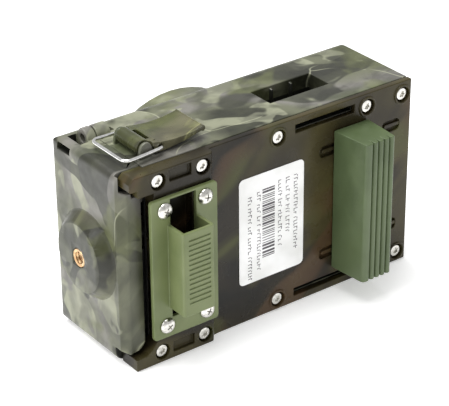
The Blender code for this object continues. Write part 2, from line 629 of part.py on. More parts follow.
def strap_plate(finish):
    outline = rounded_rectangle((PLATE_X[0], PLATE_Z[0]), (PLATE_X[1], PLATE_Z[1]), 1.2, 2)
    plate = Piece("strap_plate", prism(outline, "Y", PLATE_Y[0], PLATE_Y[1]), finish)
    face = [(LOOP_X[0], PLATE_Y[0] + 0.6), (LOOP_X[1], PLATE_Y[0] + 0.6)]
    face += arc((LOOP_X[1] - 1.0, LOOP_FACE_Y + 1.0), 1.0, 0, -90, 2)
    face += arc((LOOP_X[0] + 1.0, LOOP_FACE_Y + 1.0), 1.0, -90, -180, 2)
    plate.join(prism(face, "Z", LOOP_Z[0], LOOP_Z[1]))
    plate.cut(block(PLATE_HOLE_X, (PLATE_Y[0] - 1.0, PLATE_Y[1] + PAST), PLATE_HOLE_Z))
    inside_y = (LOOP_FACE_Y + LOOP_WALL, PLATE_Y[0])
    plate.cut(block(PLATE_HOLE_X, inside_y, (LOOP_Z[0] - PAST, LOOP_Z[1] + PAST)))
    for index in range(LOOP_GROOVES):
        z = LOOP_Z[0] + 5.0 + index * LOOP_GROOVE_PITCH
        plate.cut(block((19.6, 29.4), (LOOP_FACE_Y - PAST, LOOP_FACE_Y + 0.45), (z, z + 0.8)))
    for x in PLATE_SCREW_X:
        for z in PLATE_SCREW_Z:
            plate.cut(rod("Y", (x, z), 1.9, PLATE_Y[0] - PAST, PLATE_Y[1] + PAST, 12))


def plate_screws(finish):
    number = 0
    for x in PLATE_SCREW_X:
        for z in PLATE_SCREW_Z:
            number += 1
            seat = PLATE_Y[0] - 0.3
            profile = [(1.8, seat - 1.5), (2.8, seat - 1.0), (3.2, seat)]
            profile += [(1.5, seat), (1.5, -BLOCK_PROUD - 0.1)]
            screw = Piece(f"plate_screw_{number}", turned("Y", (x, z), profile, 14), finish)
            cross = [(0.35, 1.5), (-0.35, 1.5), (-0.35, 0.35), (-1.5, 0.35), (-1.5, -0.35)]
            cross += [(-0.35, -0.35)]
            cross += [(-0.35, -1.5), (0.35, -1.5), (0.35, -0.35), (1.5, -0.35), (1.5, 0.35), (0.35, 0.35)]
            screw.cut(prism([(x + a, z + b) for a, b in cross], "Y", seat - 4.0, seat - 0.7))


def tree_brace(finish):
    """Upright bar whose crest has ridges that run across the tree's bark."""
    crest_right = BRACE_X[1] - 1.2
    crest_left = BRACE_X[0] + 2.4
    pitch = (crest_right - crest_left) / BRACE_RIDGES
    outline = [(BRACE_X[0], -GAP), (BRACE_X[1], -GAP)]
    for index in range(BRACE_RIDGES):
        right = crest_right - index * pitch
        outline += [(right, BRACE_FACE_Y + 0.6), (right - 0.6, BRACE_FACE_Y)]
        if index < BRACE_RIDGES - 1:
            outline += [(right - pitch + 1.1, BRACE_FACE_Y), (right - pitch + 0.5, BRACE_FACE_Y + 0.6)]
            outline.append((right - pitch + 0.25, BRACE_FACE_Y + RIDGE_DEPTH))
    outline += [(crest_left + 0.4, BRACE_FACE_Y), (crest_left - 0.5, BRACE_FACE_Y + 0.4)]
    outline.append((crest_left - 1.0, BRACE_FACE_Y + 1.4))
    Piece("tree_brace", prism(outline, "Z", BRACE_Z[0], BRACE_Z[1]), finish)


def label(finish):
    Piece("rear_label", prism(rounded_rectangle(LABEL_LOW, LABEL_HIGH, 2.0), "Y", *LABEL_Y), finish)


def mouth_seal(finish):
    low, high = WALL + GAP, WIDTH - WALL - GAP
    outer = rounded_rectangle((SEAM_Y + 0.3, low), (DEPTH - WALL - GAP, high), 1.5, 2)
    seal = Piece("mouth_seal", prism(outer, "X", 13.0, DECK_X[0] - 0.4), finish)
    inner = rounded_rectangle((SEAM_Y + 1.4, low + 4.2), (DEPTH - WALL - 2.0, high - 3.4), 1.0, 2)
    seal.cut(prism(inner, "X", 10.0, 18.0))
    for z in BLOCK_SCREW_Z:
        seal.cut(rod("Y", (BLOCK_SCREW_X[0], z), 2.8, 0.0, 18.4, 12))


def control_deck(finish):
    outline = rounded_rectangle((SEAM_Y + 0.3, WALL + GAP), (DEPTH - WALL - GAP, WIDTH - WALL - GAP), 1.5, 2)
    deck = Piece("control_deck", prism(outline, "X", DECK_X[0], DECK_X[1]), finish)
    through = (DECK_X[0] - PAST, DECK_X[1] + PAST)
    deck.cut(block(through, (TRAY_Y[0] - GAP, TRAY_Y[1] + GAP), (TRAY_Z[0] - GAP, TRAY_Z[1] + GAP)))
    deck.cut(block(through, (LCD_Y[0] + 1.0, LCD_Y[1] - 1.0), (LCD_Z[0] + 1.0, LCD_Z[1] - 1.0)))
    deck.cut(block(through, (CARD_Y[0] - GAP, CARD_Y[1] + GAP), (CARD_Z[0] - GAP, CARD_Z[1] + GAP)))
    for y in KEY_Y:
        deck.cut(rod("X", (y, KEY_Z), KEY_R + GAP, through[0], through[1], 12))
    deck.cut(block(through, (SWITCH_Y - 3.6, SWITCH_Y + 3.6), (SOCKET_Z - 1.4, SOCKET_Z + 1.4)))
    deck.cut(block(through, (19.5, 27.5), (SOCKET_Z - 1.9, SOCKET_Z + 1.9)))
    deck.cut(rod("X", (32.0, SOCKET_Z), 2.6, through[0], through[1], 12))
    deck.cut(rod("X", (38.2, SOCKET_Z), 2.2, through[0], through[1], 12))
    for z in BLOCK_SCREW_Z:
        deck.cut(block(through, (SEAM_Y - 1.0, 18.4), (z - 2.8, z + 2.8)))


def lcd_screen(finish):
    glass = block((DECK_X[1] + 0.3, DECK_X[1] + 2.0), (LCD_Y[0], LCD_Y[1]), (LCD_Z[0], LCD_Z[1]))
    Piece("lcd_screen", glass, finish)


def keys(finish):
    for number, y in enumerate(KEY_Y, 1):
        profile = [(KEY_R - 0.4, 13.6), (KEY_R, 13.9), (KEY_R, 17.0)]
        profile += [(KEY_R + 0.8, 17.0), (KEY_R + 0.8, 17.8)]
        Piece(f"key_{number}", turned("X", (y, KEY_Z), profile, 12), finish, (13.6, y, KEY_Z))


def mode_switch(finish):
    pivot = (DECK_X[0], SWITCH_Y - 2.0, SOCKET_Z)
    centre = SWITCH_Y - 2.0
    knob = block((13.4, 17.0), (centre - 1.2, centre + 1.2), (SOCKET_Z - 1.0, SOCKET_Z + 1.0))
    switch = Piece("mode_switch", knob, finish, pivot)
    switch.join(block((16.9, 18.2), (centre - 1.6, centre + 1.6), (SOCKET_Z - 2.4, SOCKET_Z + 2.4)))


def sockets(metal, plastic):
    usb = Piece("usb_socket", block((14.8, 22.0), (19.9, 27.1), (SOCKET_Z - 1.5, SOCKET_Z + 1.5)), metal)
    usb.cut(block((10.0, 20.5), (20.4, 26.6), (SOCKET_Z - 1.0, SOCKET_Z + 1.0)))
    for name, y, radius, bore in (("av_socket", 32.0, 2.2, 1.3), ("dc_socket", 38.2, 1.8, 1.1)):
        socket = Piece(name, rod("X", (y, SOCKET_Z), radius, 14.8, 24.0, 16), plastic)
        socket.cut(rod("X", (y, SOCKET_Z), bore, 10.0, 22.5, 12))


def memory_card(finish):
    outline = [(13.0, CARD_Z[0]), (13.0, CARD_Z[1]), (45.0, CARD_Z[1])]
    outline += [(45.0, CARD_Z[0] + 3.0), (42.0, CARD_Z[0])]
    solid = prism(outline, "Y", CARD_Y[0], CARD_Y[0] + 1.6)
    Piece("memory_card", solid, finish, (13.0, CARD_Y[0], CARD_Z[0]))


def battery_tray(finish):
    """Drawer open on its rear side, with a middle wall between its two lengths of cells and a pull tab."""
    pivot = (TRAY_X[0], TRAY_Y[0], TRAY_Z[0])
    tray = Piece("battery_tray", block(TRAY_X, TRAY_Y, TRAY_Z), finish, pivot)
    inside_y = (TRAY_Y[0] - PAST, TRAY_Y[1] - TRAY_WALL)
    inside_z = (TRAY_Z[0] + TRAY_WALL, TRAY_Z[1] - TRAY_WALL)
    middle = (TRAY_X[0] + TRAY_X[1]) / 2 + 0.9
    tray.cut(block((TRAY_X[0] + 2.0, middle - 0.7), inside_y, inside_z))
    tray.cut(block((middle + 0.7, TRAY_X[1] - 1.4), inside_y, inside_z))


def battery_cells(finish):
    middle = (TRAY_X[0] + TRAY_X[1]) / 2 + 0.9
    number = 0
    for start in (middle - 1.2 - CELL_LENGTH, middle + 1.4):
        for row in (-0.5, 0.5):
            for column in (-0.5, 0.5):
                number += 1
                y = (TRAY_Y[0] + TRAY_Y[1]) / 2 - 0.5 + row * CELL_PITCH
                z = (TRAY_Z[0] + TRAY_Z[1]) / 2 + column * CELL_PITCH
                profile = [(CELL_R, start), (CELL_R, start + CELL_LENGTH - 1.4)]
                profile += [(2.7, start + CELL_LENGTH - 1.4), (2.7, start + CELL_LENGTH)]
                Piece(f"battery_{number}", turned("X", (y, z), profile, 14), finish)


def main_board(finish):
    board = Piece("main_board", block((22.0, 98.0), BOARD_Y, (14.5, 48.0)), finish)
    board.join(block((44.0, 62.0), (BOARD_Y[1] - 0.3, BOARD_Y[1] + 1.6), (22.0, 34.0)))
    board.join(block((26.0, 31.0), (BOARD_Y[1] - 0.3, BOARD_Y[1] + 1.2), (18.0, 44.0)))
    board.join(block((84.0, 92.0), (BOARD_Y[1] - 0.3, BOARD_Y[1] + 1.2), (18.0, 30.0)))


def lens_parts(black, glass, green):
    hood = Piece("lens_hood", rod("Y", (LENS_X, MID_Z), HOOD_R, TURRET_FACE_Y + 0.3, HOOD_FACE_Y, 28), black)
    hood.cut(rod("Y", (LENS_X, MID_Z), LENS_R + 0.4, TURRET_FACE_Y - PAST, HOOD_FACE_Y + PAST, 24))
    face = TURRET_FACE_Y
    dome = [(LENS_R, face - 3.2), (LENS_R, face - 1.6), (LENS_R * 0.7, face - 0.1)]
    dome += [(LENS_R * 0.36, face + 0.7), (0, face + 0.95)]
    Piece("lens_glass", turned("Y", (LENS_X, MID_Z), dome, 24), glass)
    profile = [(7.0, 42.0), (7.0, face - 6.5), (6.2, face - 6.5), (6.2, face - 4.2)]
    Piece("lens_barrel", turned("Y", (LENS_X, MID_Z), profile, 24), black)
    Piece("image_board", block((LENS_X - 10, LENS_X + 10), (40.9, 41.7), (MID_Z - 10, MID_Z + 10)), green)


def motion_sensor(white, metal):
    face = TURRET_FACE_Y
    profile = [(SENSOR_R - 1.9, face - 3.0), (SENSOR_R - 1.9, face + 0.3), (SENSOR_R, face + 0.3)]
    profile += [(SENSOR_R * 0.8, face + 1.1), (SENSOR_R * 0.45, face + 1.45), (0, face + 1.55)]
    Piece("sensor_lens", turned("Y", (SENSOR_X, MID_Z), profile, 24), white)
    can = [(5.0, 40.6), (5.0, 41.2), (4.4, 41.2), (4.4, 45.2)]
    Piece("motion_sensor", turned("Y", (SENSOR_X, MID_Z), can, 20), metal)


def status_light(finish):
    face = TURRET_FACE_Y
    profile = [(LIGHT_R, face - 4.0), (LIGHT_R, face - 0.4), (LIGHT_R - 0.5, face + 0.1)]
    Piece("status_light", turned("Y", LIGHT_PLACE, profile, 12), finish)


def led_parts(dark, green):
    low = (LED_X[0] + GAP, LED_Z[0] + GAP)
    high = (LED_X[1] - GAP, LED_Z[1] - GAP)
    pane = rounded_rectangle(low, high, 2.6)
    Piece("led_window", prism(pane, "Y", DEPTH - 1.4, DEPTH + 1.6), dark)
    board = Piece("led_board", block((104.5, 132.5), (37.6, 38.8), (11.0, 71.0)), green)
    for column in range(3):
        for row in range(6):
            centre = (109.5 + column * 9.0, 16.0 + row * 10.0)
            profile = [(2.4, 38.5), (2.4, 41.0), (0, 42.1)]
            board.join(turned("Y", centre, profile, 6))


def make_camera():
    remove_everything()
    origin = bpy.data.objects.new("camera_origin", None)
    origin.location = [value * MM for value in ORIGIN]
    bpy.context.scene.collection.objects.link(origin)

    camo = material("camo_plastic", (0.20, 0.22, 0.15), 0.42)
    dark_camo = material("dark_camo_plastic", (0.11, 0.10, 0.07), 0.35)
    green = material("sage_plastic", (0.20, 0.30, 0.15), 0.5)
    steel = material("screw_steel", (0.75, 0.75, 0.74), 0.28, 1.0)
    chrome = material("chrome_wire", (0.85, 0.85, 0.85), 0.12, 1.0)
    brass = material("brass", (0.72, 0.45, 0.22), 0.3, 1.0)
    black = material("black_plastic", (0.02, 0.02, 0.02), 0.4)
    rubber = material("seal_rubber", (0.03, 0.03, 0.03), 0.8)
    white = material("label_paper", (0.85, 0.85, 0.84), 0.5)
    board = material("circuit_board", (0.02, 0.12, 0.06), 0.45)
    glass = material("lens_glass", (0.02, 0.02, 0.03), 0.05)
    window = material("smoked_window", (0.015, 0.012, 0.012), 0.15)
    frosted = material("frosted_dome", (0.75, 0.75, 0.72), 0.35)
    cell_skin = material("cell_skin", (0.05, 0.05, 0.06), 0.35, 0.3)
    screen = material("screen", (0.03, 0.04, 0.05), 0.1)
    red = material("status_light", (0.5, 0.03, 0.02), 0.2)

    front_shell(camo)
    rear_shell(dark_camo)
    rear_screws(steel)
    end_cap(camo)
    tripod_insert(brass)
    hinge_pin(steel)
    latch_pin(steel)
    latch_lever(camo)
    latch_bail(chrome)
    strap_plate(green)
    plate_screws(steel)
    tree_brace(green)
    label(white)
    mouth_seal(rubber)
    control_deck(black)
    lcd_screen(screen)
    keys(rubber)
    mode_switch(white)
    sockets(steel, black)
    memory_card(black)
    battery_tray(black)
    battery_cells(cell_skin)
    main_board(board)
    lens_parts(black, glass, board)
    motion_sensor(frosted, steel)
    status_light(red)
    led_parts(window, board)


make_camera()
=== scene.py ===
"""Looks of the trail camera: materials, rounded edges, screws, label print, studio and camera view."""

import json
import math
import random

import bmesh
import bpy
from mathutils import Matrix, Vector


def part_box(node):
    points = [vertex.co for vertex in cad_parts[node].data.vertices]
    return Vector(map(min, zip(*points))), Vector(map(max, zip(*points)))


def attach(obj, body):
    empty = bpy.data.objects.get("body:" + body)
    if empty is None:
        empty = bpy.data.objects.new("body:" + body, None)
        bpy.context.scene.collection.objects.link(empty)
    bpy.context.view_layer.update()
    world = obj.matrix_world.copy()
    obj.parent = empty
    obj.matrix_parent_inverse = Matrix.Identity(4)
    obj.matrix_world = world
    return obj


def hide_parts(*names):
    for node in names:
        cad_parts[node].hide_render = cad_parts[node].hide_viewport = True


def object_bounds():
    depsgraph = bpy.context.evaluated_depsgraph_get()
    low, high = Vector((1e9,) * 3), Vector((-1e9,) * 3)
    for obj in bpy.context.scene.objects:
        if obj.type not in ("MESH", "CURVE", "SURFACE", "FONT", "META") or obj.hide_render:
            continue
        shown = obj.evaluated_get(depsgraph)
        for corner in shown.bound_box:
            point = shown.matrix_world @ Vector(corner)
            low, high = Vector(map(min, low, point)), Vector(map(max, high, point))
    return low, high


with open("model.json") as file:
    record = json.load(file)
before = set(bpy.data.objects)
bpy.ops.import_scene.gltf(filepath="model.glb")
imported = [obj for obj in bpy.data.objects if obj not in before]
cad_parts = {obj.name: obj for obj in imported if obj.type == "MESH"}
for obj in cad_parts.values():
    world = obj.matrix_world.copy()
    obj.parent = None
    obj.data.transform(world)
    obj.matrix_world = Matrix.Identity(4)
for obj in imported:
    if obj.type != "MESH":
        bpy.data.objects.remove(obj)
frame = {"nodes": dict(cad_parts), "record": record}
CAD_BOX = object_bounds()

MM = 0.001
SEED = 7
BODY_LENGTH = 140 * MM
BODY_END_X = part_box("front_shell")[1].x
CAP_FACE_X = BODY_END_X - BODY_LENGTH
REAR_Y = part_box("tree_brace")[1].y
FRONT_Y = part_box("end_cap")[1].y
BODY_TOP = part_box("rear_shell")[1].z
INSERT_MIDDLE = (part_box("tripod_insert")[0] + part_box("tripod_insert")[1]) / 2
EDGE_R = 5 * MM                 # the body's two long front edges
CAP_SKIN = 2.2 * MM             # no face nearer the cap's end than this looks inwards
FAR_SKIN = 1.0 * MM             # the same at the body's other end
BOSS_DEPTH = 0.3 * MM           # the boss stands in front of this depth
BOSS_REACH = 19.7 * MM          # and within this distance of its axis
STEEPEST, FLATTEST = -0.98, -0.2  # X of the normals on the boss's slope
LOW_CORNER = 5.5 * MM           # size of the cap's lower front corner
GRID = 5 * MM                   # spacing of the cuts across long faces
SHARP_ANGLE = math.radians(30)
FLAT_ANGLE = math.radians(0.5)
MERGE_DISTANCE = 0.002 * MM
ROOM_SHARE = 0.42               # share of a short edge that the rounding next to it may use
STRAIGHT_ON = -0.8              # dot product of two edges that run on from each other
ALWAYS_INSIDE = 3.5 * MM        # faces this deep in the body are unprinted whichever way they look
MAYBE_INSIDE = 1.0 * MM         # faces this deep are unprinted when they look inwards
LOOKS_INWARDS = 0.3
THREAD_R = 2.5                  # thread of the tripod insert, in millimetres
THREAD_DEPTH = 0.45
THREAD_PITCH = 1.27
LABEL_FACE_Y = REAR_Y + 0.12 * MM
LABEL_FILM = 0.2 * MM
INK_Y = (LABEL_FACE_Y - 0.03 * MM, LABEL_FACE_Y + 0.02 * MM)
BARS_X, BARS_LENGTH = 11.2 * MM, 6.0 * MM
STROKE = 0.3 * MM
LETTER_GAP = 0.45 * MM
WORD_GAP = 0.9 * MM
WORD_CHANCE = 0.14
ROUND_SIDES = 48
FLOOR_HALF = 6.0
FLOOR_GAP = 0.2 * MM
CAMERA_PLACE = (-0.3905, -0.5194, 0.3968)
CAMERA_ANGLES = (-36.53, 28.68, -0.53)  # azimuth, elevation and roll in degrees
LENS, SENSOR = 150.7, 36.0


def srgb(red, green, blue):
    """Screen colour, 0 to 255, as linear light."""
    def channel(value):
        value /= 255
        return value / 12.92 if value <= 0.04045 else ((value + 0.055) / 1.055) ** 2.4
    return (channel(red), channel(green), channel(blue), 1.0)


class Shading:
    """Short calls for building one node material."""

    def __init__(self, name, roughness=0.5, metallic=0.0, specular=0.5):
        self.material = bpy.data.materials.new(name)
        self.material.use_nodes = True
        self.nodes = self.material.node_tree.nodes
        self.links = self.material.node_tree.links
        self.shader = self.nodes["Principled BSDF"]
        self.shader.inputs["Roughness"].default_value = roughness
        self.shader.inputs["Metallic"].default_value = metallic
        self.shader.inputs["Specular IOR Level"].default_value = specular
        self.place = self.nodes.new("ShaderNodeTexCoord").outputs["Object"]

    def link(self, source, target):
        self.links.new(source, target)

    def feed(self, value, socket):
        """Sets the socket to a plain value, or links another node's output to it."""
        if isinstance(value, (tuple, float, int)):
            socket.default_value = value
        else:
            self.link(value, socket)

    def mapped(self, scale=(1, 1, 1), turn=(0, 0, 0), shift=(0, 0, 0)):
        """Object coordinates, turned, then stretched."""
        turned = self.nodes.new("ShaderNodeMapping")
        turned.inputs["Rotation"].default_value = [math.radians(angle) for angle in turn]
        turned.inputs["Location"].default_value = shift
        self.link(self.place, turned.inputs["Vector"])
        stretched = self.nodes.new("ShaderNodeVectorMath")
        stretched.operation = "MULTIPLY"
        stretched.inputs[1].default_value = scale
        self.link(turned.outputs["Vector"], stretched.inputs[0])
        return stretched.outputs["Vector"]

    def noise(self, scale, detail=3.0, distortion=0.0, rough=0.5, vector=None):
        node = self.nodes.new("ShaderNodeTexNoise")
        node.inputs["Scale"].default_value = scale
        node.inputs["Detail"].default_value = detail
        node.inputs["Distortion"].default_value = distortion
        node.inputs["Roughness"].default_value = rough
        self.link(vector or self.place, node.inputs["Vector"])
        return node.outputs["Fac"]

    def cells(self, scale, feature, vector=None, output="Distance", randomness=1.0):
        node = self.nodes.new("ShaderNodeTexVoronoi")
        node.feature = feature
        node.inputs["Scale"].default_value = scale
        node.inputs["Randomness"].default_value = randomness
        self.link(vector or self.place, node.inputs["Vector"])
        return node.outputs[output]

    def bent(self, vector, noise_scale, amount):
        """The vector pushed about by soft noise."""
        node = self.nodes.new("ShaderNodeTexNoise")
        node.inputs["Scale"].default_value = noise_scale
        node.inputs["Detail"].default_value = 2.0
        self.link(self.place, node.inputs["Vector"])
        push = self.nodes.new("ShaderNodeVectorMath")
        push.operation = "MULTIPLY_ADD"
        push.inputs[1].default_value = (amount, amount, amount)
        self.link(node.outputs["Color"], push.inputs[0])
        self.link(vector, push.inputs[2])
        return push.outputs["Vector"]

    def ramp(self, value, stops, smooth=True):
        node = self.nodes.new("ShaderNodeValToRGB")
        node.color_ramp.interpolation = "EASE" if smooth else "LINEAR"
        elements = node.color_ramp.elements
        while len(elements) < len(stops):
            elements.new(0.5)
        for element, (position, colour) in zip(elements, stops):
            element.position = position
            element.color = colour if isinstance(colour, tuple) else (colour, colour, colour, 1.0)
        self.link(value, node.inputs["Fac"])
        return node.outputs["Color"]

    def mix(self, amount, low, high, mode="MIX"):
        node = self.nodes.new("ShaderNodeMix")
        node.data_type = "RGBA"
        node.blend_type = mode
        for socket, value in ((node.inputs[0], amount), (node.inputs[6], low), (node.inputs[7], high)):
            self.feed(value, socket)
        return node.outputs[2]

    def multiply(self, first, second):
        node = self.nodes.new("ShaderNodeMath")
        node.operation = "MULTIPLY"
        self.feed(first, node.inputs[0])
        self.feed(second, node.inputs[1])
        return node.outputs[0]

    def worn_edges(self, ground, worn, reach=0.0004, amount=0.5):
        """The ground colour, rubbed lighter in uneven patches along the edges."""
        corner = self.nodes.new("ShaderNodeBevel")
        corner.samples = 4
        corner.inputs["Radius"].default_value = reach
        surface = self.nodes.new("ShaderNodeNewGeometry")
        turned_away = self.nodes.new("ShaderNodeVectorMath")
        turned_away.operation = "DOT_PRODUCT"
        self.link(corner.outputs["Normal"], turned_away.inputs[0])
        self.link(surface.outputs["Normal"], turned_away.inputs[1])
        rubbed = self.ramp(turned_away.outputs["Value"], [(0.88, 1.0), (0.985, 0.0)], smooth=False)
        patches = self.ramp(self.noise(260.0, 3.0), [(0.4, 0.15), (0.62, 1.0)])
        return self.mix(self.multiply(self.multiply(rubbed, patches), amount), ground, worn)

    def colour(self, source):
        self.link(source, self.shader.inputs["Base Color"])

    def roughness(self, source):
        self.link(source, self.shader.inputs["Roughness"])

    def bump(self, height, strength, distance):
        node = self.nodes.new("ShaderNodeBump")
        node.inputs["Strength"].default_value = strength
        node.inputs["Distance"].default_value = distance
        self.link(height, node.inputs["Height"])
        self.link(node.outputs["Normal"], self.shader.inputs["Normal"])


def camo_plastic(name="camo_reeds", tint=(1.0, 1.0, 1.0, 1.0), roughness=0.36):
    """Printed camouflage: grey and olive patches, soft blades both light and dark, a few pale twigs."""
    paint = Shading(name, roughness, specular=0.45)
    along = paint.mapped(scale=(1.0, 1.0, 0.26), turn=(0, -42, 10))
    across = paint.mapped(scale=(0.34, 1.0, 1.0), turn=(14, -28, 0), shift=(0.2, 0.1, 0.3))
    ground = paint.ramp(paint.noise(17.0, 2.0, 0.7), [
        (0.35, srgb(46, 48, 33)), (0.45, srgb(90, 92, 73)),
        (0.54, srgb(108, 106, 100)), (0.65, srgb(82, 88, 62))])
    blades = paint.noise(44.0, 2.0, 0.8, vector=paint.bent(along, 16.0, 0.02))
    pale = paint.ramp(blades, [(0.54, 0.0), (0.575, 1.0)])
    ground = paint.mix(paint.multiply(pale, 0.8), ground, srgb(134, 136, 114))
    shadows = paint.noise(38.0, 2.5, 1.0, vector=paint.bent(across, 20.0, 0.03))
    deep = paint.ramp(shadows, [(0.53, 0.0), (0.565, 1.0)])
    ground = paint.mix(paint.multiply(deep, 0.85), ground, srgb(40, 41, 30))
    clumps = paint.noise(30.0, 3.0, 0.6, vector=paint.mapped(shift=(0.7, 0.4, 0.2)))
    moss = paint.ramp(clumps, [(0.54, 0.0), (0.62, 1.0)])
    ground = paint.mix(paint.multiply(moss, 0.5), ground, srgb(94, 99, 60))
    streak = paint.ramp(paint.noise(110.0, 3.0, 0.5, vector=along), [(0.36, 0.68), (0.64, 1.2)])
    ground = paint.mix(1.0, ground, streak, "MULTIPLY")
    branches = paint.cells(19.0, "DISTANCE_TO_EDGE", paint.bent(along, 24.0, 0.03))
    twig = paint.ramp(branches, [(0.0, 0.7), (0.006, 0.0)])
    places = paint.noise(20.0, 1.0, vector=paint.mapped(shift=(0.5, 0.2, 0.1)))
    some = paint.ramp(places, [(0.48, 0.0), (0.54, 1.0)])
    ground = paint.mix(paint.multiply(twig, some), ground, srgb(176, 178, 150))
    ground = paint.mix(1.0, ground, tint, "MULTIPLY")
    paint.colour(paint.worn_edges(ground, srgb(146, 148, 126)))
    paint.roughness(paint.ramp(paint.noise(300.0, 2.0), [(0.3, roughness - 0.05), (0.7, roughness + 0.08)]))
    paint.bump(paint.noise(2600.0, 2.0), 0.15, 0.00005)
    return paint.material


def dark_camo_plastic():
    """Glossy brown-black shell with olive and brown smears."""
    paint = Shading("camo_dark", 0.34, specular=0.25)
    along = paint.mapped(scale=(0.42, 1.0, 0.8), turn=(0, 28, 0))
    ground = paint.ramp(paint.noise(22.0, 3.0, 0.8, vector=along), [
        (0.36, srgb(17, 15, 9)), (0.46, srgb(33, 28, 17)),
        (0.56, srgb(66, 60, 34)), (0.68, srgb(34, 27, 18))])
    smear = paint.ramp(paint.noise(40.0, 2.0, 0.8, vector=along), [(0.50, 0.0), (0.60, 1.0)])
    tint = paint.ramp(paint.noise(24.0, 1.0), [(0.42, srgb(78, 80, 42)), (0.58, srgb(80, 60, 40))])
    ground = paint.mix(paint.multiply(smear, 0.7), ground, tint)
    paint.colour(paint.worn_edges(ground, srgb(96, 92, 72)))
    paint.roughness(paint.ramp(paint.noise(90.0, 3.0), [(0.3, 0.22), (0.7, 0.36)]))
    paint.bump(paint.noise(1500.0, 2.0), 0.1, 0.00005)
    return paint.material


def sage_plastic(name, light, dark, roughness=0.45):
    """Moulded green plastic, a little uneven, with fine grain."""
    paint = Shading(name, roughness, specular=0.4)
    ground = paint.ramp(paint.noise(40.0, 3.0, 0.5), [(0.3, dark), (0.7, light)])
    paint.colour(paint.worn_edges(ground, srgb(142, 160, 122), amount=0.6))
    paint.roughness(paint.ramp(paint.noise(240.0, 3.0), [(0.3, roughness - 0.06), (0.7, roughness + 0.08)]))
    paint.bump(paint.noise(2200.0, 2.0), 0.15, 0.00006)
    return paint.material


def metal(name, light, dark, roughness, grain=900.0):
    """Bare metal with fine grain."""
    paint = Shading(name, roughness, metallic=1.0)
    paint.colour(paint.ramp(paint.noise(grain, 2.0), [(0.3, dark), (0.7, light)]))
    uneven = paint.noise(grain * 0.5, 3.0)
    paint.roughness(paint.ramp(uneven, [(0.3, roughness * 0.8), (0.7, roughness * 1.3)]))
    paint.bump(paint.noise(grain * 2.0, 2.0), 0.1, 0.00003)
    return paint.material


def plain_plastic(name, colour, roughness=0.45, grain=1800.0, specular=0.4):
    """Plastic, rubber or glass in one colour, cloudy and grained."""
    paint = Shading(name, roughness, specular=specular)
    light = tuple(min(1.0, value * 1.5 + 0.004) for value in colour[:3]) + (1.0,)
    paint.colour(paint.ramp(paint.noise(60.0, 3.0), [(0.35, colour), (0.7, light)]))
    paint.roughness(paint.ramp(paint.noise(200.0, 3.0), [(0.3, roughness * 0.9), (0.7, roughness * 1.15)]))
    paint.bump(paint.noise(grain, 2.0), 0.25, 0.00008)
    return paint.material


def faceted_dome():
    """Frosted sensor dome with the facets of its moulded lenslets."""
    paint = Shading("sensor_dome", 0.3, specular=0.5)
    facets = paint.cells(420.0, "F1", randomness=0.25)
    paint.colour(paint.ramp(facets, [(0.0, srgb(196, 198, 194)), (0.6, srgb(158, 160, 156))]))
    paint.roughness(paint.ramp(paint.noise(200.0, 3.0), [(0.3, 0.24), (0.7, 0.36)]))
    paint.bump(facets, 0.5, 0.0004)
    return paint.material


def make_materials():
    return {
        "camo": camo_plastic(),
        "lever_camo": camo_plastic("camo_lever", (0.72, 0.70, 0.44, 1.0), 0.3),
        # darkened copy of the camo for the boss's slope: painted shade
        "slope_shade_camo": camo_plastic("camo_slope_painted_shade", (0.46, 0.46, 0.36, 1.0)),
        "dark_camo": dark_camo_plastic(),
        "plate_green": sage_plastic("sage_plate", srgb(114, 124, 82), srgb(98, 109, 68), 0.34),
        "brace_green": sage_plastic("sage_brace", srgb(91, 105, 72), srgb(75, 89, 58), 0.36),
        "inside": plain_plastic("shell_inside", srgb(22, 23, 17)),
        "steel": metal("screw_steel", srgb(236, 234, 228), srgb(196, 194, 188), 0.26),
        "chrome": metal("bail_chrome", srgb(246, 246, 244), srgb(222, 222, 220), 0.1),
        "brass": metal("insert_brass", srgb(222, 192, 148), srgb(186, 146, 104), 0.28),
        "black": plain_plastic("black_moulding", srgb(26, 26, 26)),
        "rubber": plain_plastic("soft_rubber", srgb(34, 34, 34), 0.75, 1200.0, 0.2),
        "seal": plain_plastic("seal_rubber", srgb(30, 29, 27), 0.7, 1200.0, 0.25),
        "paper": plain_plastic("label_film", srgb(236, 236, 234), 0.42, 900.0),
        "ink": plain_plastic("label_ink", srgb(70, 66, 70), 0.5),
        "board": plain_plastic("circuit_mask", srgb(20, 74, 44), 0.35, 700.0),
        "smoked": plain_plastic("smoked_window", srgb(22, 16, 18), 0.12, 500.0, 0.6),
        "frosted": plain_plastic("frosted_plastic", srgb(190, 190, 184), 0.4, 700.0),
        "dome": faceted_dome(),
        "cell": plain_plastic("cell_sleeve", srgb(30, 32, 38), 0.3, 500.0, 0.6),
        "screen": plain_plastic("screen_glass", srgb(34, 42, 46), 0.1, 300.0, 0.6),
        "red": plain_plastic("red_light", srgb(150, 20, 14), 0.2, 500.0, 0.6),
        "glass": plain_plastic("lens_coating", srgb(24, 20, 40), 0.06, 200.0, 0.8),
    }


MATERIALS = make_materials()


def own_material(thing, name):
    """Gives the object this one material."""
    thing.data.materials.clear()
    thing.data.materials.append(MATERIALS[name])


def body_of(node):
    for body, members in frame["record"]["behaviour"]["bodies"].items():
        if node in members:
            return body
    raise KeyError(node)


def stands_for(piece, node, finish):
    """The piece takes the node's place: its body and a finish of its own."""
    own_material(piece, finish)
    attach(piece, body_of(node))
    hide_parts(node)


def new_object(name, data):
    """An object with this mesh, lamp or camera, put into the scene."""
    thing = bpy.data.objects.new(name, data)
    bpy.context.scene.collection.objects.link(thing)
    return thing


